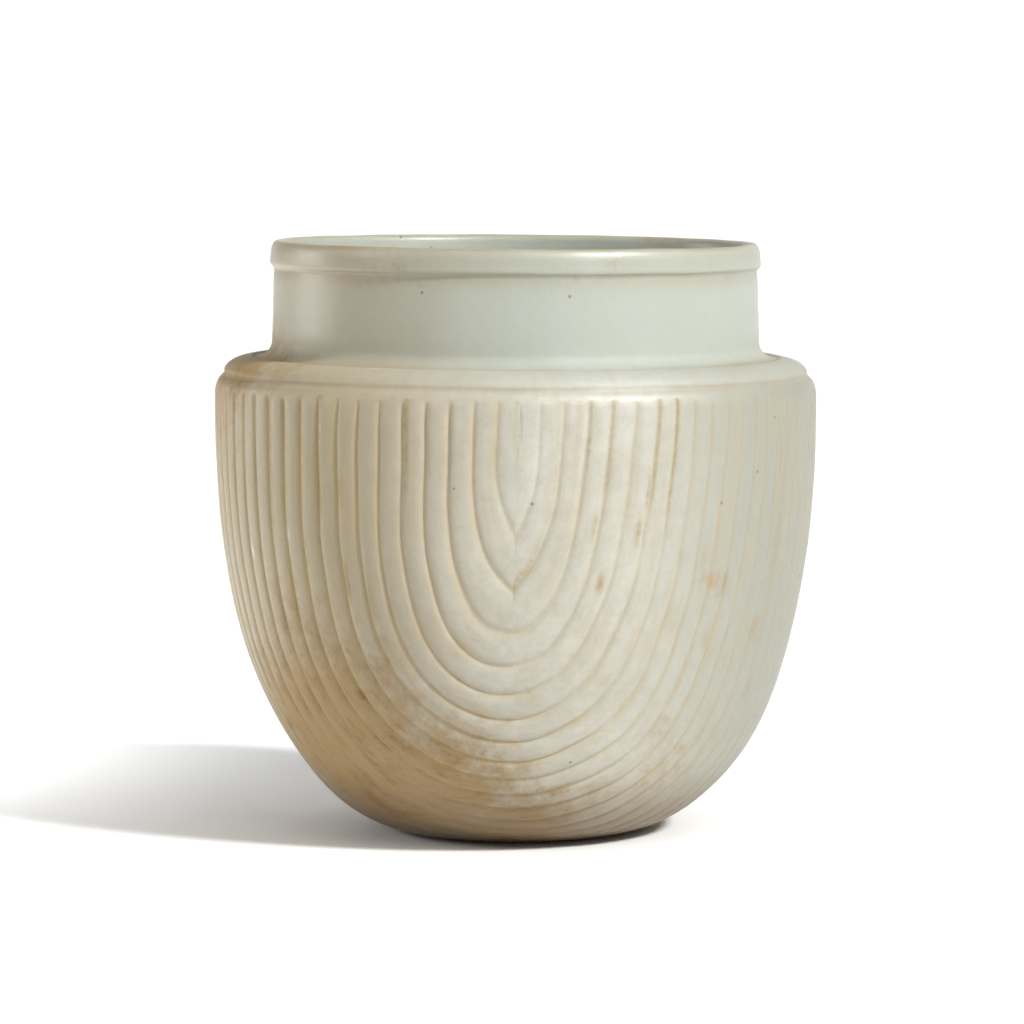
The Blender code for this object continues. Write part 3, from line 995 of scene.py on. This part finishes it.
def make_cup():
    """The carved cup as one closed mesh."""
    mesh = bmesh.new()
    marks = {name: mesh.verts.layers.float.new(name) for name in ("flute", "bearing", "spread", "groove")}
    add_body(mesh, marks)
    add_turned_top(mesh, marks)
    bmesh.ops.bridge_loops(mesh, edges=[edge for edge in mesh.edges if edge.is_boundary])
    make_irregular(mesh)
    keep_within(mesh, *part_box("cup"))
    bmesh.ops.recalc_face_normals(mesh, faces=mesh.faces)
    data = bpy.data.meshes.new("marble_cup")
    mesh.to_mesh(data)
    mesh.free()
    data.shade_smooth()
    mark_surface(data)
    data.materials.append(carved_marble())
    cup = bpy.data.objects.new("marble_cup", data)
    bpy.context.collection.objects.link(cup)
    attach(cup, "root")
    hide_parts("cup")


def make_floor():
    """Plain white paper under the cup, running back to the horizon."""
    mesh = bmesh.new()
    bmesh.ops.create_grid(mesh, x_segments=1, y_segments=1, size=15.0)
    data = bpy.data.meshes.new("floor")
    mesh.to_mesh(data)
    mesh.free()
    material = bpy.data.materials.new("white_paper")
    material.use_nodes = True
    shader = material.node_tree.nodes["Principled BSDF"]
    shader.inputs["Base Color"].default_value = linear("F6F6F5")
    shader.inputs["Roughness"].default_value = 0.7
    data.materials.append(material)
    floor = bpy.data.objects.new("floor", data)
    bpy.context.collection.objects.link(floor)


def direction(azimuth, elevation):
    """Unit vector towards an azimuth, in degrees to the right of the camera, and an elevation."""
    azimuth = math.radians(azimuth)
    elevation = math.radians(elevation)
    level = math.cos(elevation)
    return Vector((level * math.sin(azimuth), -level * math.cos(azimuth), math.sin(elevation)))


def add_light(name, kind, azimuth, elevation, energy, settings, distance=1.0):
    """A lamp at a distance from the cup, turned towards its middle."""
    lamp = bpy.data.lights.new(name, kind)
    lamp.energy = energy
    for setting, value in settings.items():
        setattr(lamp, setting, value)
    towards = direction(azimuth, elevation)
    light = bpy.data.objects.new(name, lamp)
    light.location = Vector((0.0, 0.0, HEIGHT / 2)) + towards * distance
    light.rotation_euler = towards.to_track_quat("Z", "Y").to_euler()
    bpy.context.collection.objects.link(light)


def light_scene():
    """Main lamp and softbox to the front right, two softboxes to the left, floor lamp, white wall."""
    add_light("main_lamp", "SUN", 51, 38, 4.0, {"angle": math.radians(8)})
    add_light("front_softbox", "SUN", 30, 48, 0.6, {"angle": math.radians(35)})
    left_size = {"shape": "RECTANGLE", "size": 0.3, "size_y": 0.45}
    add_light("left_softbox", "AREA", -110, 10, 3.5, left_size, distance=1.2)
    side_size = {"shape": "RECTANGLE", "size": 0.08, "size_y": 0.25}
    add_light("side_softbox", "AREA", -75, 22, 1.8, side_size, distance=1.2)
    floor_lamp = bpy.data.lights.new("floor_lamp", "SPOT")
    floor_lamp.energy = 17.0
    floor_lamp.spot_size = math.radians(40)
    floor_lamp.spot_blend = 1.0
    floor_lamp.shadow_soft_size = 0.05
    light = bpy.data.objects.new("floor_lamp", floor_lamp)
    light.location = FLOOR_LAMP_PLACE
    bpy.context.collection.objects.link(light)
    world = bpy.data.worlds.new("studio")
    bpy.context.scene.world = world
    world.use_nodes = True
    tree = world.node_tree
    backdrop = tree.nodes["Background"]
    towards = add_node(tree, "ShaderNodeTexCoord").outputs["Generated"]
    parts = add_node(tree, "ShaderNodeSeparateXYZ", inputs={0: towards})
    behind = add_node(
        tree,
        "ShaderNodeMapRange",
        {"interpolation_type": "SMOOTHSTEP"},
        {"Value": parts.outputs["Y"], "From Min": 0.8, "From Max": 0.97, "To Min": 0.28, "To Max": 1.05},
    )
    tree.links.new(behind.outputs[0], backdrop.inputs["Strength"])
    backdrop.inputs["Color"].default_value = linear("FFFFFF")


def add_camera():
    """The photograph's viewpoint, a little above the rim and straight in front."""
    lens = bpy.data.cameras.new("camera")
    lens.lens = LENS
    lens.sensor_width = SENSOR
    lens.sensor_fit = "HORIZONTAL"
    lens.clip_end = 100.0
    camera = bpy.data.objects.new("camera", lens)
    camera.location = CAMERA_PLACE
    camera.rotation_euler = (math.pi / 2 - CAMERA_TILT, 0.0, 0.0)
    bpy.context.collection.objects.link(camera)
    bpy.context.scene.camera = camera


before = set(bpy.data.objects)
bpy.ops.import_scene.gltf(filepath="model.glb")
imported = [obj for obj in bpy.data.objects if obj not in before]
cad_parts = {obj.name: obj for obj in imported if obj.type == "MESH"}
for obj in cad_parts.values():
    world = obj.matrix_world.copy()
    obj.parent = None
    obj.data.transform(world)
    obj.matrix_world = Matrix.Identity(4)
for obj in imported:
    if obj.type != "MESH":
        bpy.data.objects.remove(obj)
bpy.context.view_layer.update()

add_camera()
light_scene()
make_floor()
make_cup()
bpy.context.scene.view_settings.view_transform = "Standard"
